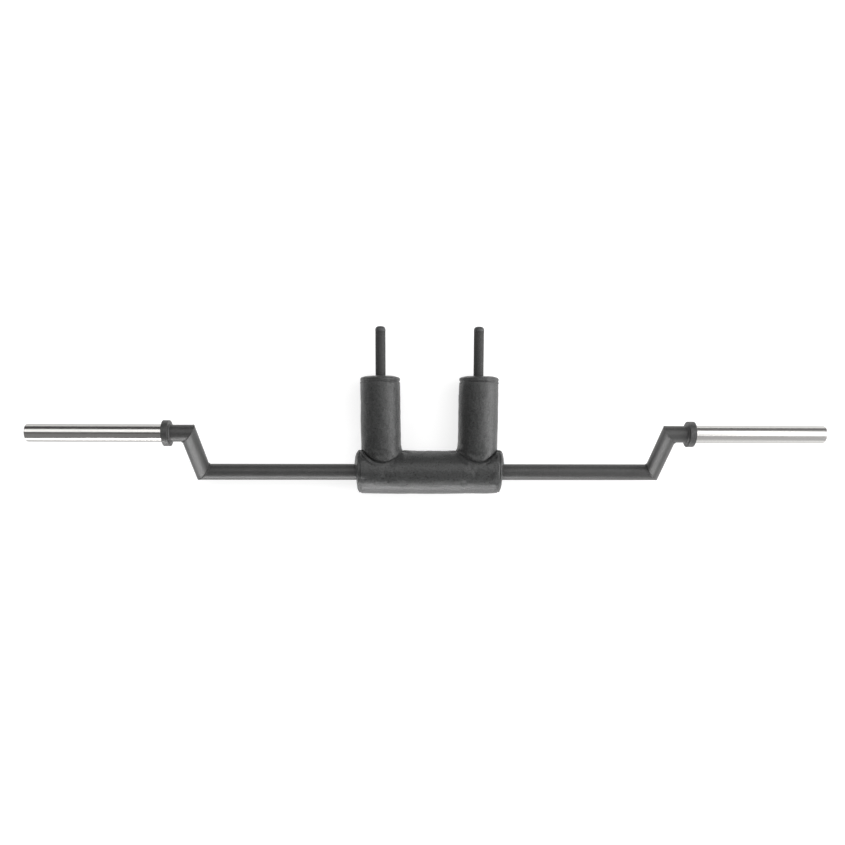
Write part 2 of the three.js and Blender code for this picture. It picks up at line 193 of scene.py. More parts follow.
def vinyl():
    made, tree, shader = material("black_vinyl")
    where = object_coordinates(tree)
    cells = add(tree, "ShaderNodeTexVoronoi", Scale=430.0, feature="DISTANCE_TO_EDGE")
    tree.links.new(where, cells.inputs["Vector"])
    creases = ramp(tree, cells.outputs["Distance"], [(0.0, 0.0), (0.14, 1.0)])
    fine = noise_of(tree, where, 1100.0, 3.0, 0.65)
    mottle = noise_of(tree, where, 200.0, 4.0, 0.72)
    dents = noise_of(tree, where, 170.0, 1.0, 0.5)
    cloud = noise_of(tree, where, 11.0, 3.0)
    dark = (0.0025, 0.0027, 0.0027)
    light = (0.031, 0.033, 0.0325)
    base = ramp(tree, mottle, [(0.39, dark), (0.64, light)])
    shade = ramp(tree, cloud, [(0.3, 0.85), (0.7, 1.0)])
    # Painted shade: the colour is darker along the grain's creases, standing in for the shade that
    # falls in them
    crease_shade = ramp(tree, creases, [(0.0, 0.6), (1.0, 1.0)])
    colour = multiplied(tree, multiplied(tree, base, shade), crease_shade)
    tree.links.new(colour, shader.inputs["Base Color"])
    rough(tree, shader, mottle, 0.27, 0.4, (0.34, 0.66))
    shader.inputs["Specular IOR Level"].default_value = 0.74
    shader.inputs["Sheen Weight"].default_value = 0.04
    shader.inputs["Sheen Roughness"].default_value = 0.45
    bumps(tree, shader, [
        (creases, 0.0004, 0.5),
        (dents, 0.001, 0.5),
        (mottle, 0.0009, 0.5),
        (fine, 0.0002, 0.3),
    ])
    return made


def turned_steel(name, colour, roughness, marks):
    """Metal with turning marks round the X axis."""
    made, tree, shader = material(name)
    where = object_coordinates(tree, (1.0, 0.02, 0.02))
    rings = noise_of(tree, where, 2600.0, 2.0, 0.7)
    broad = noise_of(tree, where, 240.0, 2.0)
    cloud = noise_of(tree, object_coordinates(tree), 22.0, 3.0)
    dark = tuple(0.86 * c for c in colour)
    tree.links.new(ramp(tree, rings, [(0.3, dark), (0.7, colour)]), shader.inputs["Base Color"])
    shader.inputs["Metallic"].default_value = 1.0
    shader.inputs["Specular Tint"].default_value = (0.6, 0.6, 0.6, 1)
    rough(tree, shader, cloud, roughness * 0.8, roughness * 1.25)
    bumps(tree, shader, [(rings, 0.00012, marks), (broad, 0.0003, marks * 0.5)])
    return made


def plastic(name, low, high, roughness):
    made, tree, shader = material(name)
    where = object_coordinates(tree)
    grain = noise_of(tree, where, 1300.0, 2.0, 0.6)
    tree.links.new(ramp(tree, grain, [(0.3, low), (0.7, high)]), shader.inputs["Base Color"])
    rough(tree, shader, grain, roughness - 0.06, roughness + 0.06)
    bumps(tree, shader, [(grain, 0.0002, 0.4)])
    return made


PAINT = powder_coat("powder_coat_paint", 0.46, 0.6)
GRIP = powder_coat("powder_coat_grip", 0.62, 0.36)
VINYL = vinyl()
BRIGHT = turned_steel("bright_turned_steel", (0.57, 0.56, 0.545), 0.18, 0.3)
BARE = turned_steel("bare_turned_steel", (0.42, 0.42, 0.425), 0.36, 0.5)
BRONZE = turned_steel("oiled_bronze", (0.46, 0.28, 0.11), 0.38, 0.4)
NYLON = plastic("black_nylon", (0.014, 0.014, 0.015), (0.024, 0.024, 0.026), 0.5)
CAP = plastic("cap_plastic", (0.03, 0.031, 0.032), (0.062, 0.063, 0.065), 0.42)
THREAD = plastic("black_thread", (0.03, 0.03, 0.031), (0.085, 0.085, 0.086), 0.6)

# Meshes
SEGMENTS = 96
EASE_STEPS = 5
SHARP_ANGLE = math.radians(32)
FLAT_WEIGHT = 90
TINY = 1e-5


def turns(count):
    """Angles that go round once."""
    return [2 * math.pi * k / count for k in range(count)]


def spoke(angle, first, second):
    return math.cos(angle) * first + math.sin(angle) * second


def bent(start, control, end, t):
    """A point of the curve that leaves start and reaches end, pulled towards control."""
    return start * (1 - t) ** 2 + control * 2 * t * (1 - t) + end * t * t


def piece(name, points, faces, finish, body="frame", replaces=()):
    mesh = bpy.data.meshes.new(name)
    mesh.from_pydata([tuple(p) for p in points], [], [tuple(f) for f in faces])
    shape = bmesh.new()
    shape.from_mesh(mesh)
    bmesh.ops.recalc_face_normals(shape, faces=shape.faces)
    shape.to_mesh(mesh)
    shape.free()
    mesh.polygons.foreach_set("use_smooth", [True] * len(mesh.polygons))
    mesh.materials.append(finish)
    made = bpy.data.objects.new(name, mesh)
    scene.collection.objects.link(made)
    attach(made, body)
    if replaces:
        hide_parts(*replaces)
    return made


def crisp(made):
    """Keeps flat faces flat beside their rounded edges."""
    made.data.set_sharp_from_angle(angle=SHARP_ANGLE)
    weighted = made.modifiers.new("flat_faces", "WEIGHTED_NORMAL")
    weighted.keep_sharp = True
    weighted.weight = FLAT_WEIGHT
    return made


def skin(rings, along=False, capped=False):
    """Faces between rings. The last ring meets the first along a closed row, or both get a cap."""
    count = len(rings[0])
    points = [p for ring in rings for p in ring]
    faces = []
    for i in range(len(rings) if along else len(rings) - 1):
        j = (i + 1) % len(rings)
        for k in range(count):
            m = (k + 1) % count
            faces.append((i * count + k, i * count + m, j * count + m, j * count + k))
    if capped:
        faces.append(tuple(range(count))[::-1])
        faces.append(tuple(range((len(rings) - 1) * count, len(rings) * count)))
    return points, faces


def eased(corners):
    """(radius, along, edge) corners become a line whose corners are rounded by their edge."""
    line = []
    for i, (radius, along, edge) in enumerate(corners):
        here = Vector((radius, along))
        if not edge:
            line.append(here)
            continue
        before = Vector(corners[i - 1][:2])
        after = Vector(corners[(i + 1) % len(corners)][:2])
        start = here + (before - here).normalized() * edge
        end = here + (after - here).normalized() * edge
        line += [bent(start, here, end, step / EASE_STEPS) for step in range(EASE_STEPS + 1)]
    return line


def turned(name, corners, origin, axis, finish, body="frame", replaces=(), closed=True):
    """A shape turned about axis from origin. A closed line has a bore, an open one ends on the axis."""
    across = Vector((0, 0, 1))
    third = axis.cross(across)
    rings = []
    for radius, along in eased(corners):
        centre = origin + axis * along
        reach = max(radius, TINY)
        rings.append([centre + reach * spoke(a, across, third) for a in turns(SEGMENTS)])
    points, faces = skin(rings, along=closed, capped=not closed)
    return crisp(piece(name, points, faces, finish, body, replaces))


# Frame tubes, mitred where they meet
def mirrored(point):
    return Vector((-point.x, point.y, point.z))


STUB_END = Vector((COLLAR_X, UPPER.y, UPPER.z))
STATIONS = [mirrored(STUB_END), mirrored(UPPER), mirrored(LOWER), LOWER, UPPER, STUB_END]
TUBES = ["stub_tube_left", "camber_tube_left", "main_tube", "camber_tube_right", "stub_tube_right"]
CORNERS = [
    "upper_corner_weld_left",
    "lower_corner_weld_left",
    "lower_corner_weld_right",
    "upper_corner_weld_right",
]
TUBE_LIP = 0.004


def heading(index):
    return (STATIONS[index + 1] - STATIONS[index]).normalized()


def tube(index):
    start, end, axis = STATIONS[index], STATIONS[index + 1], heading(index)
    cuts = []
    for place, other in ((start, index - 1), (end, index + 1)):
        inside = 0 <= other < len(TUBES)
        cuts.append((place, (axis + heading(other)).normalized() if inside else axis))
    across = axis.orthogonal().normalized()
    third = axis.cross(across)
    rings = [[] for _ in range(4)]
    for a in turns(SEGMENTS):
        base = start + TUBE_R * spoke(a, across, third)
        low, high = [(place - base).dot(cut) / axis.dot(cut) for place, cut in cuts]
        for ring, along in zip(rings, (low, low + TUBE_LIP, high - TUBE_LIP, high)):
            ring.append(base + axis * along)
    points, faces = skin(rings, capped=True)
    node = TUBES[index]
    return crisp(piece(node + "_skin", points, faces, PAINT, replaces=[node]))


# Weld beads
BEAD_TURNS = 256
BEAD_STEPS = 8
BEAD_SINK = 0.0003
BEAD_ROOT = 0.0022
RIPPLE_SHARE = 0.3
RIPPLE_SWEEP = 3.2
CORNER_BEAD = {"foot": 0.0026, "crown": 0.0016, "ripples": 46, "wobble": 0.25}
COLLAR_BEAD = {"foot": 0.0036, "crown": 0.0004, "ripples": 44, "wobble": 0.3}


def clamped(value):
    return min(1.0, max(0.0, value))


def bead_ring(first, second, point, angle, chance, foot, crown, ripples, wobble):
    """One section of a weld bead between two surfaces, each given by (normal, along)."""
    (n1, t1), (n2, t2) = first, second
    middle = (n1 + n2).normalized()
    opening = middle.dot(t1)
    reach = max(0.0, opening) * foot
    full = clamped(1 + 2 * opening)
    start = point + t1 * foot - n1 * BEAD_SINK
    end = point + t2 * foot - n2 * BEAD_SINK
    section = []
    for step in range(BEAD_STEPS + 1):
        t = step / BEAD_STEPS
        chevron = math.sin(angle * ripples - RIPPLE_SWEEP * (2 * t - 1) ** 2)
        rise = crown * full * (1 + RIPPLE_SHARE * chevron + wobble * chance)
        crest = point + middle * (reach + rise)
        control = crest * 2 - (start + end) / 2
        section.append(bent(start, control, end, t))
    section.append(point - middle * BEAD_ROOT)
    return section


def corner_bead(index):
    corner, arrive, leave = STATIONS[index + 1], heading(index), heading(index + 1)
    cut = (arrive + leave).normalized()
    across = arrive.orthogonal().normalized()
    third = arrive.cross(across)
    rings = []
    for a in turns(BEAD_TURNS):
        normal = spoke(a, across, third)
        offset = normal * TUBE_R
        offset = offset - arrive * (offset.dot(cut) / arrive.dot(cut))
        other = (offset - leave * offset.dot(leave)).normalized()
        chance = noise.noise(Vector((a * 3, index * 7.0, 0)))
        surfaces = (normal, -arrive), (other, leave)
        rings.append(bead_ring(*surfaces, corner + offset, a, chance, **CORNER_BEAD))
    points, faces = skin(rings, along=True)
    node = CORNERS[index]
    return piece(node + "_bead", points, faces, PAINT, replaces=[node])


def collar_bead(name, side):
    axis = Vector((side, 0, 0))
    centre = Vector((side * COLLAR_X, UPPER.y, UPPER.z))
    across = Vector((0, 0, 1))
    third = axis.cross(across)
    rings = []
    for a in turns(BEAD_TURNS):
        normal = spoke(a, across, third)
        chance = noise.noise(Vector((a * 3, centre.x * 50, 1)))
        surfaces = (normal, -axis), (-axis, normal)
        rings.append(bead_ring(*surfaces, centre + normal * TUBE_R, a, chance, **COLLAR_BEAD))
    points, faces = skin(rings, along=True)
    node = f"collar_weld_{name}"
    return piece(node + "_bead", points, faces, PAINT, replaces=[node])


for index in range(len(TUBES)):
    tube(index)
for index in range(len(CORNERS)):
    corner_bead(index)


# Collars and plate sleeves. Corners are (radius, place along the bar, rounding)
def collar(name, side):
    corners = [
        (COLLAR_BORE_R, COLLAR_X, 0),
        (COLLAR_R, COLLAR_X, 0.001),
        (COLLAR_R, COLLAR_FACE, 0.001),
        (SEAT_R, COLLAR_FACE, 0.0004),
        (SEAT_R, COLLAR_SEAT, 0),
        (COLLAR_BORE_R, COLLAR_SEAT, 0),
    ]
    turned(
        f"collar_{name}_ring", corners, SPIN_ORIGIN, Vector((side, 0, 0)), PAINT,
        replaces=[f"collar_{name}"],
    )


def sleeve(name, side):
    corners = [
        (BUSHING_SEAT_R, SLEEVE_START, 0.0004),
        (SLEEVE_R, SLEEVE_START, 0.0012),
        (SLEEVE_R, SLEEVE_END, 0.001),
        (BUSHING_SEAT_R, SLEEVE_END, 0.0005),
        (BUSHING_SEAT_R, SLEEVE_END - OUTER_SEAT, 0),
        (SLEEVE_BORE_R, SLEEVE_END - OUTER_SEAT, 0),
        (SLEEVE_BORE_R, SLEEVE_START + INNER_SEAT, 0),
        (BUSHING_SEAT_R, SLEEVE_START + INNER_SEAT, 0),
    ]
    turned(
        f"sleeve_{name}_shell", corners, SPIN_ORIGIN, Vector((side, 0, 0)), BRIGHT,
        name + "_sleeve", [f"sleeve_{name}"],
    )


def sleeve_end_cap(name, side):
    """A disc with a small centre drilled into its face."""
    face = SLEEVE_END - SLEEVE_CAP_RECESS
    back = face - SLEEVE_CAP_T
    drilled = face - 0.0013
    corners = [
        (0, back, 0),
        (SLEEVE_CAP_R, back, 0.0003),
        (SLEEVE_CAP_R, face, 0.0008),
        (0.0035, face, 0.0006),
        (0.0022, drilled, 0.0004),
        (0, drilled, 0),
    ]
    turned(
        f"sleeve_end_cap_{name}_disc", corners, SPIN_ORIGIN, Vector((side, 0, 0)), BRIGHT,
        name + "_sleeve", [f"sleeve_end_cap_{name}"], closed=False,
    )


for name, side in SIDES:
    collar(name, side)
    collar_bead(name, side)
    sleeve(name, side)
    sleeve_end_cap(name, side)


# Handles
def arm_foot(side):
    return Vector((side * ARM_X, MAIN_Y, MAIN_Z - ARM_DROP))


def handle_tube(name, side):
    end = CAP_START - 0.0002
    corners = [
        (0, HANDLE_FOOT, 0),
        (HANDLE_R, HANDLE_FOOT, 0),
        (HANDLE_R, end, 0.0005),
        (0, end, 0),
    ]
    turned(
        f"handle_tube_{name}_skin", corners, arm_foot(side), Vector((0, 1, 0)), GRIP,
        replaces=[f"handle_tube_{name}"], closed=False,
    )


def handle_cap(name, side):
    """A domed cap, a little wider than its tube, with a stem that plugs into it."""
    rim = CAP_START + 0.0001
    corners = [
        (0, CAP_START - CAP_STEM, 0),
        (CAP_STEM_R, CAP_START - CAP_STEM, 0.001),
        (CAP_STEM_R, rim, 0),
        (HANDLE_R + CAP_PROUD, rim, 0.0007),
        (HANDLE_R + CAP_PROUD, HANDLE_REACH - CAP_NUB, CAP_ROUND),
        (CAP_NUB_R, HANDLE_REACH, 0.001),
        (0, HANDLE_REACH, 0),
    ]
    turned(
        f"handle_cap_{name}_shell", corners, arm_foot(side), Vector((0, 1, 0)), CAP,
        replaces=[f"handle_cap_{name}"], closed=False,
    )


for name, side in SIDES:
    handle_tube(name, side)
    handle_cap(name, side)

# Pads: a skin of rings is blown up by a cloth simulation, and its seams are drawn in after it
PRESSURE = 4.0
FRAMES = 20
SWELL_LIMIT = 0.003


def pad(name, rings, pins, nodes):
    """rings run along the pad. pins holds a weight for each of their points."""
    points, faces = skin(rings)
    made = piece(name, points, faces, VINYL, replaces=nodes)
    inflate(made, [weight for ring in pins for weight in ring])
    return made


def inflate(made, weights):
    mesh = made.data
    rest = np.array([v.co for v in mesh.vertices])
    group = made.vertex_groups.new(name="seams")
    for index, weight in enumerate(weights):
        if weight > 0:
            group.add([index], weight, "REPLACE")
    cloth = made.modifiers.new("cloth", "CLOTH")
    cloth.settings.quality = 6
    cloth.settings.mass = 0.004
    cloth.settings.shrink_min = -0.012
    cloth.settings.tension_stiffness = 5
    cloth.settings.compression_stiffness = 5
    cloth.settings.shear_stiffness = 4
    cloth.settings.bending_stiffness = 0.6
    cloth.settings.use_pressure = True
    cloth.settings.uniform_pressure_force = PRESSURE
    cloth.settings.vertex_group_mass = group.name
    cloth.settings.effector_weights.gravity = 0
    cloth.point_cache.frame_start = 1
    cloth.point_cache.frame_end = FRAMES
    for step in range(1, FRAMES + 1):
        scene.frame_set(step)
    blown = made.evaluated_get(bpy.context.evaluated_depsgraph_get())
    moved = np.array([v.co for v in blown.to_mesh().vertices]) - rest
    blown.to_mesh_clear()
    made.modifiers.remove(cloth)
    length = np.linalg.norm(moved, axis=1)
    share = SWELL_LIMIT * np.tanh(length / SWELL_LIMIT) / np.maximum(length, 1e-9)
    mesh.vertices.foreach_set("co", (rest + moved * share[:, None]).ravel())
    mesh.update()
    scene.frame_set(1)


def refine(made):
    finer = made.modifiers.new("finer", "SUBSURF")
    finer.levels = 1
    finer.render_levels = 1
    evaluated = made.evaluated_get(bpy.context.evaluated_depsgraph_get())
    dense = bpy.data.meshes.new_from_object(evaluated)
    made.modifiers.clear()
    made.vertex_groups.clear()
    old = made.data
    made.data = dense
    dense.name = made.name
    bpy.data.meshes.remove(old)
    dense.polygons.foreach_set("use_smooth", [True] * len(dense.polygons))


def reshape(made, change):
    """change(co, normal) gives a point's new place."""
    mesh = made.data
    normals = [n.vector.copy() for n in mesh.vertex_normals]
    for vertex, normal in zip(mesh.vertices, normals):
        vertex.co = change(vertex.co.copy(), normal)
    mesh.update()


# Sizes of the pads in metres. Seams, panels and domes are set for the blown-up skins
NECK_R = 0.064
NECK_SEAM_R = 0.0628
NECK_SEAM_X = 0.20745
NECK_DOME = 0.0126
NECK_POWER = 0.75
SADDLE_R = 0.063
SHOULDER_R = 0.0581
SHOULDER_SEAM_R = 0.0577
SHOULDER_SEAM_Y = 0.269
SHOULDER_DOME = 0.0162
SHOULDER_POWER = 0.4
PANEL_R = 0.0585
HOLE_ROOM = 0.0002
HOLE_DEPTH = 0.006
FLOOR_RING = 0.0006
FLOOR_SKIN = 0.0003

# How far the skins are drawn in at seams and inside the neck pad, and how soon that fades
TUCK = 0.0016
FILLET = 0.0088
SEAM_DRAW = 0.0012
SEAM_LIP = 0.0008
LIP_BACK = 0.003
ROOT_IN = 0.006
ROOT_BACK = 0.009
SADDLE_FADE = 0.0045
FILLET_FADE = 0.004
SHOULDER_FADE = 0.004
NECK_FADE = 0.006
FOOT_MARGIN = 0.001
FOOT_BLEND = 0.004
FOOT_SINK = 0.006

# Rings and rows of the skins
AROUND_NECK = 84
AROUND_SHOULDER = 76
NEAR_NECK_SEAM = (0.0015, 0.004, 0.008)
NECK_PLAIN = 0.0125
NECK_ROWS = 78
NECK_DOME_STEPS = 9
SHOULDER_DOME_STEPS = 14
NEAR_SADDLE = [0.0, 0.0025, 0.0055, 0.0095]
ROW_START = 0.0145
ROW = 0.005
ROW_COUNT = 36
LAST_ROW_GAP = 0.006
NEAR_END_SEAM = [0.978, 0.989, 0.9955]
SEAM_POINTS = 720


def power(value, exponent):
    return max(value, 0.0) ** exponent


def seam_radius(side, angle):
    """The shoulder pad is drawn in at its seam and spreads a little at the bar's middle."""
    inner = max(0.0, -side * math.sin(angle))
    return SHOULDER_R - TUCK + FILLET * inner ** 2


def saddle_point(side, angle):
    """Where a shoulder pad's skin is sewn to the neck pad, at an angle from the top."""
    radius = seam_radius(side, angle)
    z = -ARM_DROP + radius * math.cos(angle)
    y = math.sqrt(max(SADDLE_R ** 2 - z ** 2, 0.0))
    return Vector((side * ARM_X + radius * math.sin(angle), MAIN_Y + y, MAIN_Z + z))


def cover_rows():
    """Shares of the way from the saddle seam to the end seam, closer together beside both."""
    rows = NEAR_SADDLE + [ROW_START + ROW * k for k in range(ROW_COUNT)]
    length = rows[-1] + LAST_ROW_GAP
    return [row / length for row in rows] + NEAR_END_SEAM


def cover_radius(side, angle, share, span):
    """The shoulder cover's radius at a share of the span from the saddle seam to the end seam."""
    down, up = share * span, (1 - share) * span
    inner = max(0.0, -side * math.sin(angle))
    fade = SADDLE_FADE + FILLET_FADE * inner
    swell = SHOULDER_R + (seam_radius(side, angle) - SHOULDER_R) * math.exp(-down / fade)
    drawn = (SHOULDER_R - SHOULDER_SEAM_R + SEAM_DRAW) * math.exp(-up / SHOULDER_FADE)
    return swell - drawn


def shoulder_rings(side):
    """A shoulder pad's rings and pins, from inside the neck pad to the hole round the handle."""
    foot = arm_foot(side)
    angles = turns(AROUND_SHOULDER)
    seam = [seam_radius(side, a) for a in angles]
    base = [saddle_point(side, a).y - MAIN_Y for a in angles]
    rings, pins = [], []

    def ring(radii, places, pin):
        points = []
        for a, radius, along in zip(angles, radii, places):
            z = max(FLOOR_RING, foot.z + radius * math.cos(a))
            points.append(Vector((foot.x + radius * math.sin(a), MAIN_Y + along, z)))
        rings.append(points)
        pins.append([pin] * AROUND_SHOULDER)

    def flat_ring(radius, along, pin):
        ring([radius] * AROUND_SHOULDER, [along] * AROUND_SHOULDER, pin)

    ring([r - ROOT_IN for r in seam], [y - ROOT_BACK for y in base], 1.0)
    ring([r - SEAM_LIP for r in seam], [y - LIP_BACK for y in base], 1.0)
    for t in cover_rows():
        radii = [cover_radius(side, a, t, SHOULDER_SEAM_Y - y) for a, y in zip(angles, base)]
        ring(radii, [y + t * (SHOULDER_SEAM_Y - y) for y in base], 1.0 if t == 0 else 0.0)
    flat_ring(SHOULDER_SEAM_R - SEAM_DRAW, SHOULDER_SEAM_Y, 1.0)
    hole = HANDLE_R + HOLE_ROOM
    last = math.acos((hole / PANEL_R) ** (1 / SHOULDER_POWER))
    for step in range(1, SHOULDER_DOME_STEPS + 1):
        angle = last * step / SHOULDER_DOME_STEPS
        radius = PANEL_R * power(math.cos(angle), SHOULDER_POWER)
        up = SHOULDER_DOME * power(math.sin(angle), SHOULDER_POWER)
        flat_ring(radius, SHOULDER_SEAM_Y + up, 1.0 if step == SHOULDER_DOME_STEPS else 0.0)
    flat_ring(hole, SHOULDER_SEAM_Y + SHOULDER_DOME - HOLE_DEPTH, 1.0)
    return rings, pins


def neck_profile():
    """(x, radius, pin) of the neck pad's rings, from one end's hole to the other's."""
    hole = TUBE_R + HOLE_ROOM
    last = math.acos((hole / NECK_SEAM_R) ** (1 / NECK_POWER))
    end = [(NECK_SEAM_X + NECK_DOME - HOLE_DEPTH, hole, 1.0)]
    for step in range(NECK_DOME_STEPS, 0, -1):
        angle = last * step / NECK_DOME_STEPS
        x = NECK_SEAM_X + NECK_DOME * power(math.sin(angle), NECK_POWER)
        radius = (NECK_SEAM_R - SEAM_LIP) * power(math.cos(angle), NECK_POWER)
        end.append((x, radius, 1.0 if step == NECK_DOME_STEPS else 0.0))
    end.append((NECK_SEAM_X, NECK_SEAM_R - SEAM_DRAW, 1.0))
    for inward in NEAR_NECK_SEAM:
        share = 1 - math.exp(-inward / NECK_FADE)
        radius = NECK_SEAM_R - SEAM_DRAW + share * (NECK_R - NECK_SEAM_R + SEAM_DRAW)
        end.append((NECK_SEAM_X - inward, radius, 0.0))
    reach = NECK_SEAM_X - NECK_PLAIN
    middle = [(reach - 2 * reach * k / NECK_ROWS, NECK_R, 0.0) for k in range(NECK_ROWS + 1)]
    return end + middle + [(-x, radius, pin) for x, radius, pin in reversed(end)]


def footprint(x, y, z):
    """1 well inside a shoulder pad's end, 0 outside it, at a point of the neck pad."""
    if y <= 0:
        return 0.0
    side = math.copysign(1, x)
    across, up = x - side * ARM_X, z + ARM_DROP
    edge = seam_radius(side, math.atan2(across, up))
    return clamped((edge + FOOT_MARGIN - math.hypot(across, up)) / FOOT_BLEND)


def neck_rings():
    """The neck pad's rings and pins. It is drawn in where a shoulder pad enters it."""
    rings, pins = [], []
    for x, radius, pin in neck_profile():
        ring, ring_pins = [], []
        for a in turns(AROUND_NECK):
            inside = footprint(x, radius * math.sin(a), radius * math.cos(a))
            fit = radius - FOOT_SINK * inside
            z = max(FLOOR_RING, MAIN_Z + fit * math.cos(a))
            ring.append(Vector((x, MAIN_Y + fit * math.sin(a), z)))
            ring_pins.append(max(pin, inside))
        rings.append(ring)
        pins.append(ring_pins)
    return rings, pins


def seam_tree():
    points = [saddle_point(side, a) for _, side in SIDES for a in turns(SEAM_POINTS)]
    tree = KDTree(len(points))
    for index, point in enumerate(points):
        tree.insert(point, index)
    tree.balance()
    return tree


SADDLES = seam_tree()


def nearest_saddle(point):
    """The distance to the nearest saddle seam, the share of a turn round it and its side."""
    _, index, distance = SADDLES.find(point)
    return distance, (index % SEAM_POINTS) / SEAM_POINTS, -1 if index < SEAM_POINTS else 1


# A shoulder pad's inner and outer side move sideways, by so much at its root and at its end
OUTER_SHIFT = (0.0002, 0.0019)
INNER_SHIFT = (-0.0027, 0.0006)
SHIFT_START = 0.04
PANEL_FLAT = 0.04
HOLE_HOLD = 0.012
CORNER_SPREAD = 0.0022
CORNER_WIDTH = 0.005

# The neck pad bulges towards the handles outside the arms, and has a fold beside each saddle
BULGE = 0.0066
BULGE_FROM = 0.048
BULGE_EASE = 0.006
BULGE_FACING = 0.35
BULGE_SPREAD = 0.75
FOLD = {-1: 0.0034, 1: 0.0009}
FOLD_PAST_SIDE = 0.2

# The covers are closed along their hidden sides, at an angle from the top
NECK_CLOSING = -2.3
SHOULDER_CLOSING = 2.35
CLOSING_FADE = 0.006
COVER_FROM = 0.045


def bell(value, width):
    return math.exp(-((value / width) ** 2))


def groove(distance, depth, width):
    return depth * bell(distance, width)


def gather(distance, height, start, fade):
    """0 on a seam, highest just beside it and fading away from it."""
    return height * math.exp(-distance / fade) * (1 - math.exp(-distance / start))


def uneven(point, height, size, seed):
    return height * noise.noise(point / size + Vector((seed, seed * 2.3, 0)))


def round_noise(angle, along):
    """Noise that closes after a turn round a pad."""
    return noise.noise(Vector((math.cos(angle) * 5, math.sin(angle) * 5, along)))


def closing_groove(off, ring):
    """The seam along a pad's hidden side, where its cover is closed."""
    return groove(off, depth=0.0011, width=0.0016) * min(1.0, ring / CLOSING_FADE)


def saddle_fold(distance):
    """A fold beside the saddle seam, and the hollow beyond it."""
    return bell(distance - 0.0065, 0.0026) - 0.6 * bell(distance - 0.012, 0.003)


def neck_change(co, normal):
    """The height above the blown-up skin is a sum of what the cover shows."""
    distance, turn, side = nearest_saddle(co)
    angle = 2 * math.pi * turn
    inner = max(0.0, -side * math.sin(angle))
    outer_top = max(0.0, side * math.sin(angle)) * max(0.0, math.cos(angle) + FOLD_PAST_SIDE)
    beyond = 1 / (1 + math.exp((ARM_X + BULGE_FROM - abs(co.x)) / BULGE_EASE))
    facing = math.atan2(co.z - MAIN_Z, co.y - MAIN_Y)
    around = math.atan2(co.y - MAIN_Y, co.z - MAIN_Z)
    ring = abs(abs(co.x) - NECK_SEAM_X)
    height = uneven(co, 0.0009, size=0.05, seed=3.0) + uneven(co, 0.0003, size=0.017, seed=5.0)
    height -= groove(distance, depth=0.0017 - 0.0013 * inner, width=0.0028)
    height += FOLD[side] * outer_top * saddle_fold(distance)
    height += BULGE * beyond * bell(facing - BULGE_FACING, BULGE_SPREAD)
    folds = noise.noise(Vector((turn * 52, side * 9.0, 0)))
    height += folds * gather(distance, 0.00242, start=0.002, fade=0.011)
    height -= closing_groove((around - NECK_CLOSING) * NECK_R, ring)
    height += round_noise(around, co.x * 9) * gather(ring, 0.0016, start=0.002, fade=0.012)
    height -= groove(ring, depth=0.0011, width=0.0018)
    out = co + normal * height
    out.z = max(out.z, FLOOR_SKIN)
    return out


def sideways(across, side, reach, ring, y):
    """How far a shoulder pad's point moves away from the bar's middle."""
    share = clamped((y - SHIFT_START) / (SHOULDER_SEAM_Y - SHIFT_START))
    near_hole = bell(reach - HANDLE_R, HOLE_HOLD) if reach < PANEL_FLAT else 0.0
    outward = clamped(0.5 + 0.5 * side * across / SHOULDER_R)
    at_seam = INNER_SHIFT[0] + (OUTER_SHIFT[0] - INNER_SHIFT[0]) * outward
    at_end = INNER_SHIFT[1] + (OUTER_SHIFT[1] - INNER_SHIFT[1]) * outward
    corner = bell(ring, CORNER_WIDTH) * max(0.0, side * across / SHOULDER_R) ** 8
    return (at_seam + (at_end - at_seam) * share) * (1 - near_hole) + CORNER_SPREAD * corner


def shoulder_change(side):
    def change(co, normal):
        distance, turn, _ = nearest_saddle(co)
        across = co.x - side * ARM_X
        reach = math.hypot(across, co.z - MAIN_Z + ARM_DROP)
        ring = abs(co.y - MAIN_Y - SHOULDER_SEAM_Y)
        height = uneven(co, 0.0008, size=0.045, seed=8.0 + side)
        height += uneven(co, 0.0003, size=0.016, seed=4.0)
        folds = noise.noise(Vector((turn * 47, side * 5.0, 2)))
        height += folds * gather(distance, 0.0022, start=0.0025, fade=0.012)
        if reach > COVER_FROM:
            around = math.atan2(across, co.z - MAIN_Z)
            height -= closing_groove((around + side * SHOULDER_CLOSING) * SHOULDER_R, ring)
            height += round_noise(around, side) * gather(ring, 0.0016, start=0.002, fade=0.01)
            height -= groove(ring, depth=0.0009, width=0.0017)
        out = co + normal * height
        out.x += side * sideways(across, side, reach, ring, co.y - MAIN_Y)
        out.z = max(out.z, FLOOR_SKIN)
        return out
    return change


def neck_pad():
    rings, pins = neck_rings()
    made = pad("neck_pad", rings, pins, [
        "neck_pad_foam",
        "neck_pad_cover",
        "neck_pad_end_panel_left",
        "neck_pad_end_panel_right",
    ])
    refine(made)
    reshape(made, neck_change)
    return made


def shoulder_pad(name, side):
    rings, pins = shoulder_rings(side)
    made = pad(f"shoulder_pad_{name}", rings, pins, [
        f"shoulder_pad_foam_{name}",
        f"shoulder_pad_cover_{name}",
        f"shoulder_pad_end_panel_{name}",
    ])
    refine(made)
    reshape(made, shoulder_change(side))
    return made


neck = neck_pad()
shoulders = {name: shoulder_pad(name, side) for name, side in SIDES}

# Stitches. A stitch's line is (share of its length, radius)
STITCH = 0.0042
PITCH = 0.0064
STITCH_LINE = ((-0.5, 0.0002), (-0.36, 0.00048), (0, 0.00056), (0.36, 0.00048), (0.5, 0.0002))
STITCH_SIDES = 6
STITCH_RISE = 0.0001
STITCH_DIP = 0.0009
STITCH_FLOOR = 0.006
OFF_SADDLE = 0.0048
OFF_SEAM = 0.0046
LINE_POINTS = 180


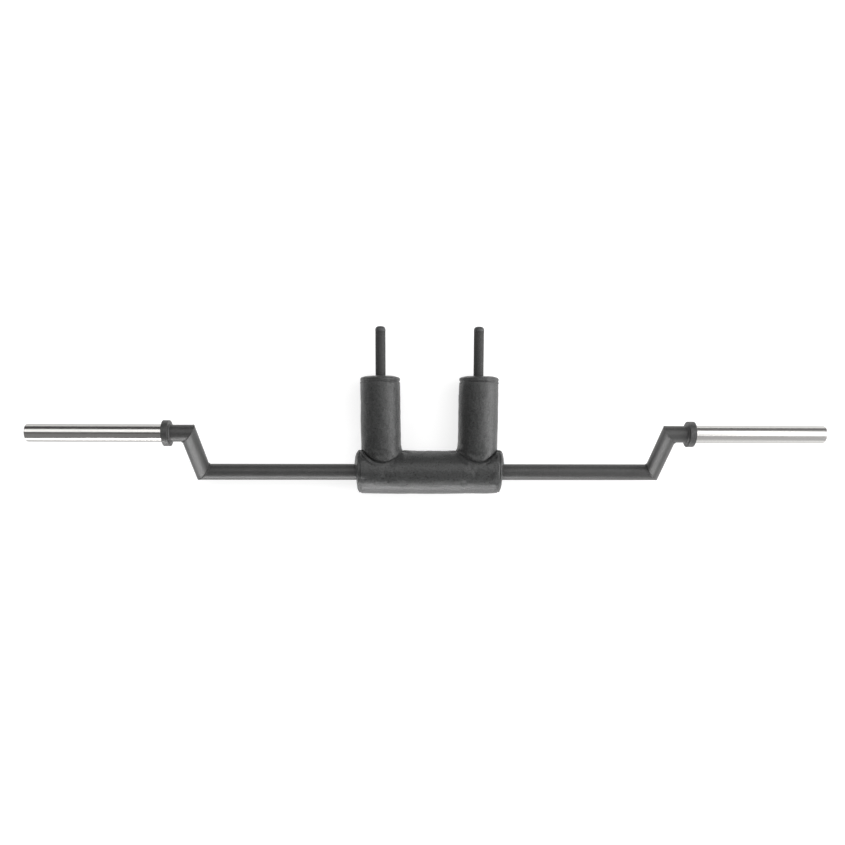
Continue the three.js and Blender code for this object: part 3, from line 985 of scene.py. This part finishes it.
def stitch(middle, along, normal):
    """One stitch, whose ends dip into the cover."""
    across = along.cross(normal).normalized()
    rings = []
    for share, radius in STITCH_LINE:
        sunk = normal * (STITCH_RISE - STITCH_DIP * (2 * share) ** 2)
        centre = middle + along * STITCH * share + sunk
        rings.append([centre + radius * spoke(a, across, normal) for a in turns(STITCH_SIDES)])
    return skin(rings, capped=True)


def stitches(name, cover, line):
    """A row of stitches laid on a finished pad along a closed line, but not on the floor."""
    lengths = [0.0]
    for before, after in zip(line, line[1:] + line[:1]):
        lengths.append(lengths[-1] + (after - before).length)
    count = int(lengths[-1] / PITCH)
    points, faces = [], []
    at = 0
    for k in range(count):
        reach = lengths[-1] * k / count
        while lengths[at + 1] < reach:
            at += 1
        start, end = line[at], line[(at + 1) % len(line)]
        place = start.lerp(end, (reach - lengths[at]) / max(lengths[at + 1] - lengths[at], 1e-9))
        found, middle, normal, _ = cover.closest_point_on_mesh(place)
        if not found or middle.z < STITCH_FLOOR:
            continue
        along = (end - start) - normal * (end - start).dot(normal)
        more, sides = stitch(middle, along.normalized(), normal)
        faces += [[len(points) + corner for corner in face] for face in sides]
        points += more
    return piece(name, points, faces, THREAD)


def circle(centre, first, second, radius):
    return [centre + radius * spoke(a, first, second) for a in turns(LINE_POINTS)]


def pad_stitches(name, side):
    shoulder = shoulders[name]
    off = Vector((side * INNER_SHIFT[0] / 2, OFF_SADDLE, 0))
    saddle = [saddle_point(side, a) + off for a in turns(LINE_POINTS)]
    stitches(f"saddle_stitches_{name}", shoulder, saddle)
    x = side * (ARM_X + OUTER_SHIFT[1] / 2)
    end = Vector((x, MAIN_Y + SHOULDER_SEAM_Y - OFF_SEAM, MAIN_Z - ARM_DROP))
    ring = circle(end, Vector((1, 0, 0)), Vector((0, 0, 1)), SHOULDER_R)
    stitches(f"shoulder_end_stitches_{name}", shoulder, ring)
    end = Vector((side * (NECK_SEAM_X - OFF_SEAM), MAIN_Y, MAIN_Z))
    ring = circle(end, Vector((0, 1, 0)), Vector((0, 0, 1)), NECK_R)
    stitches(f"neck_end_stitches_{name}", neck, ring)


for name, side in SIDES:
    pad_stitches(name, side)

# The CAD nodes that stay get their finishes
KEPT = {
    "spindle": BARE,
    "retaining_ring": BARE,
    "thrust_washer": NYLON,
    "inner_bushing": BRONZE,
    "outer_bushing": BRONZE,
    "handle_weld": PAINT,
}
for name, _ in SIDES:
    for node, finish in KEPT.items():
        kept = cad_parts[f"{node}_{name}"]
        kept.data.materials.clear()
        kept.data.materials.append(finish)

# Camera, fitted to the photograph. Angles in degrees, focal length and axis row in its pixels
EYE = Vector((-0.08604, -0.03245, 2.45431))
TILT = -7.9523
LEAN = -1.559
ROLL = 0.1596
FRAME_PIXELS = 845
FOCAL_PIXELS = 789.477
AXIS_ROW = 532.017
SENSOR = 36


def photo_camera():
    camera = bpy.data.objects.new("camera", bpy.data.cameras.new("camera"))
    scene.collection.objects.link(camera)
    turn = Euler([math.radians(angle) for angle in (TILT, LEAN, ROLL)]).to_matrix().to_4x4()
    camera.matrix_world = Matrix.Translation(EYE) @ turn
    camera.data.sensor_width = SENSOR
    camera.data.lens = FOCAL_PIXELS / FRAME_PIXELS * SENSOR
    camera.data.shift_y = (AXIS_ROW - FRAME_PIXELS / 2) / FRAME_PIXELS
    camera.data.clip_start = 0.05
    camera.data.clip_end = 100
    return camera


scene.camera = photo_camera()

# Floor
FLOOR = 14.0
FLOOR_BACK = 1.35
FLOOR_GREY = 0.52
GLOW = {"From Min": 1.3, "From Max": 2.6, "To Min": 0.69, "To Max": 1.0}


def seen_directly(tree):
    """1 for camera, glossy and transmission rays."""
    path = add(tree, "ShaderNodeLightPath")
    total = path.outputs["Is Camera Ray"]
    for name in ("Is Glossy Ray", "Is Transmission Ray"):
        both = add(tree, "ShaderNodeMath", operation="MAXIMUM")
        tree.links.new(total, both.inputs[0])
        tree.links.new(path.outputs[name], both.inputs[1])
        total = both.outputs[0]
    return total


def floor_paper():
    """White paper that keeps soft shadows, and glows more the farther it is from the object."""
    made, tree, shader = material("floor_paper")
    shader.inputs["Base Color"].default_value = (FLOOR_GREY, FLOOR_GREY, FLOOR_GREY, 1)
    shader.inputs["Roughness"].default_value = 0.9
    shader.inputs["Specular IOR Level"].default_value = 0.1
    glow = add(tree, "ShaderNodeEmission", Color=(1, 1, 1, 1))
    reach = add(tree, "ShaderNodeVectorMath", operation="LENGTH")
    tree.links.new(add(tree, "ShaderNodeTexCoord").outputs["Object"], reach.inputs[0])
    fade = add(tree, "ShaderNodeMapRange", **GLOW)
    tree.links.new(reach.outputs["Value"], fade.inputs["Value"])
    lift = add(tree, "ShaderNodeMath", operation="MULTIPLY")
    tree.links.new(seen_directly(tree), lift.inputs[0])
    tree.links.new(fade.outputs["Result"], lift.inputs[1])
    tree.links.new(lift.outputs[0], glow.inputs["Strength"])
    both = add(tree, "ShaderNodeAddShader")
    tree.links.new(shader.outputs[0], both.inputs[0])
    tree.links.new(glow.outputs[0], both.inputs[1])
    tree.links.new(both.outputs[0], tree.nodes["Material Output"].inputs["Surface"])
    return made


def floor_sheet():
    near, far = -FLOOR, FLOOR_BACK
    corners = [(-FLOOR, near, 0), (FLOOR, near, 0), (FLOOR, far, 0), (-FLOOR, far, 0)]
    mesh = bpy.data.meshes.new("floor")
    mesh.from_pydata(corners, [], [(0, 1, 2, 3)])
    mesh.materials.append(floor_paper())
    made = bpy.data.objects.new("floor", mesh)
    scene.collection.objects.link(made)
    return made


floor = floor_sheet()

# World: a studio whose grey depends on the direction, white to the camera. Stops are
# (place, grey), and a place is 0 towards -Y or -X, 0.5 across and 1 towards +Y or +X
FORWARD = [
    (0.05, 1.0), (0.09, 0.76), (0.44, 0.76), (0.465, 0.3),
    (0.62, 0.3), (0.66, 0.5), (0.84, 0.5), (0.88, 0.3),
]
RIGHTWARD = [(0.33, 0.42), (0.42, 0.32), (0.5, 0.32), (0.6, 0.65), (0.68, 1.0)]
WHITE = (1.0, 1.0, 1.0, 1.0)


def spread(tree, source):
    """Takes -1 to 1 to the ramp's 0 to 1."""
    node = add(tree, "ShaderNodeMapRange")
    node.inputs["From Min"].default_value = -1.0
    tree.links.new(source, node.inputs["Value"])
    return node.outputs["Result"]


def studio():
    world = bpy.data.worlds.new("studio")
    world.use_nodes = True
    tree = world.node_tree
    background = tree.nodes["Background"]
    aim = add(tree, "ShaderNodeSeparateXYZ")
    tree.links.new(add(tree, "ShaderNodeTexCoord").outputs["Generated"], aim.inputs[0])
    forward = ramp(tree, spread(tree, aim.outputs["Y"]), FORWARD)
    rightward = ramp(tree, spread(tree, aim.outputs["X"]), RIGHTWARD)
    sky = multiplied(tree, forward, rightward)
    camera_ray = add(tree, "ShaderNodeLightPath").outputs["Is Camera Ray"]
    tree.links.new(mixed(tree, sky, WHITE, camera_ray), background.inputs["Color"])
    background.inputs["Strength"].default_value = 1.0
    return world


scene.world = studio()


# Lamps
def softbox(name, place, target, size, radiance):
    light = bpy.data.lights.new(name, "AREA")
    light.shape = "RECTANGLE"
    light.size, light.size_y = size
    light.energy = 4 * radiance * size[0] * size[1]
    lamp = bpy.data.objects.new(name, light)
    scene.collection.objects.link(lamp)
    lamp.location = place
    lamp.rotation_euler = (Vector(target) - Vector(place)).to_track_quat("-Z", "Y").to_euler()
    lamp.visible_camera = False


softbox("overhead", (0, 1.45, 2.5), (0, 0.8, 0), (5.6, 1.9), 1.35)
softbox("overhead_right", (2.2, 0.1, 2.5), (1.2, 0, 0), (1.8, 1.3), 1.3)
softbox("front_strip", (-0.65, -2.6, 0.36), (-0.4, 0, 0.1), (3.1, 0.7), 8.6)
softbox("right_strip", (3.0, -0.1, 1.0), (0, -0.1, 0.1), (2.4, 1.8), 4.2)
